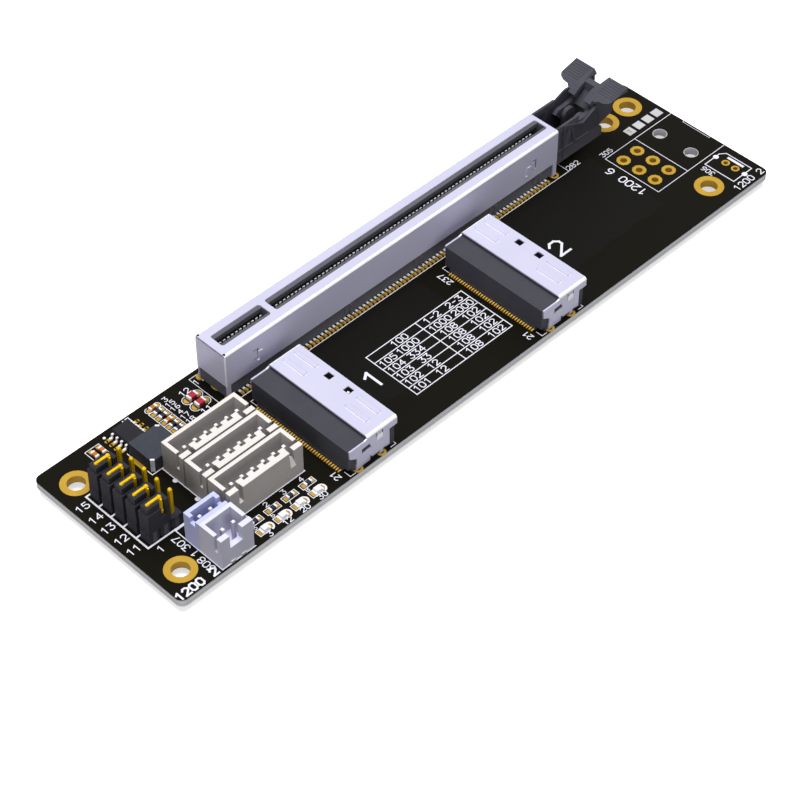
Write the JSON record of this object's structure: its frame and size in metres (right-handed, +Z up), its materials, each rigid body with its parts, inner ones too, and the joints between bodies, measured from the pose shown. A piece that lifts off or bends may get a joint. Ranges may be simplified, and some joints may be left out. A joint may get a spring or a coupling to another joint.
{
  "type": "pcie riser adapter board",
  "caption": "Long narrow riser board with a shielded full-length card slot and end latch, two shelled cable connectors, wire headers, jumper block and corner mounting holes.",
  "frame": {"origin": "centre of the rectangle of four mounting holes, at the bottom face of the board", "axes": "+X along the board from the jumper block to the latch end, +Y across it from the cable connectors to the card slot, +Z up out of the component side"},
  "size_m": [0.158, 0.0409, 0.0174],
  "materials": {
    "solder_mask": "satin black solder mask",
    "gold_plate": "bright gold plate",
    "shield_metal": "smooth tin-plated sheet",
    "black_moulding": "fine matt",
    "latch_moulding": "fine matt",
    "white_moulding": "smooth",
    "grey_moulding": "smooth",
    "blue_moulding": "smooth",
    "tin_plate": "bright tin plate",
    "black_package": "matt",
    "inductor_coat": "pressed powder",
    "capacitor_ceramic": "matt ceramic",
    "resistor_ceramic": "glazed",
    "coupling_ceramic": "matt ceramic",
    "lamp_lens": "clear white"
  },
  "bodies": {
    "board": {"cable_connector_1_contacts": "gold_plate", "cable_connector_1_housing": "black_moulding", "cable_connector_1_shell": "shield_metal", "cable_connector_2_contacts": "gold_plate", "cable_connector_2_housing": "black_moulding", "cable_connector_2_shell": "shield_metal", "chip_capacitors": "capacitor_ceramic", "chip_end_caps": "tin_plate", "chip_resistors": "resistor_ceramic", "circuit_board": "solder_mask", "coupling_capacitors": "coupling_ceramic", "indicator_lamps": "lamp_lens", "inductor_body": "inductor_coat", "inductor_terminals": "tin_plate", "jumper_base_1": "black_moulding", "jumper_base_2": "black_moulding", "jumper_base_3": "black_moulding", "jumper_base_4": "black_moulding", "jumper_base_5": "black_moulding", "jumper_cap_1": "black_moulding", "jumper_cap_2": "black_moulding", "jumper_cap_3": "black_moulding", "jumper_cap_4": "black_moulding", "jumper_cap_5": "black_moulding", "jumper_clips": "gold_plate", "jumper_pins": "gold_plate", "lamp_resistors": "resistor_ceramic", "latch_bracket": "latch_moulding", "mounting_hole_plating": "gold_plate", "open_header_housing": "grey_moulding", "open_header_pins": "tin_plate", "regulator_body": "black_package", "regulator_leads": "tin_plate", "slot_contacts_far": "gold_plate", "slot_contacts_near": "gold_plate", "slot_housing": "black_moulding", "slot_shield": "shield_metal", "small_header_housing": "blue_moulding", "small_header_pins": "tin_plate", "spare_socket_lands": "gold_plate", "wafer_header_1_housing": "white_moulding", "wafer_header_1_pins": "tin_plate", "wafer_header_2_housing": "white_moulding", "wafer_header_2_pins": "tin_plate", "wafer_header_3_housing": "white_moulding", "wafer_header_3_pins": "tin_plate"},
    "latch": {"slot_latch": "latch_moulding"}
  },
  "joints": [
    {"name": "latch_swing", "type": "hinge", "parent": "board", "child": "latch", "pos_m": [0.0606, 0.0142, 0.0088], "axis": [0, 1, 0], "range_deg": [-43, 0]}
  ]
}
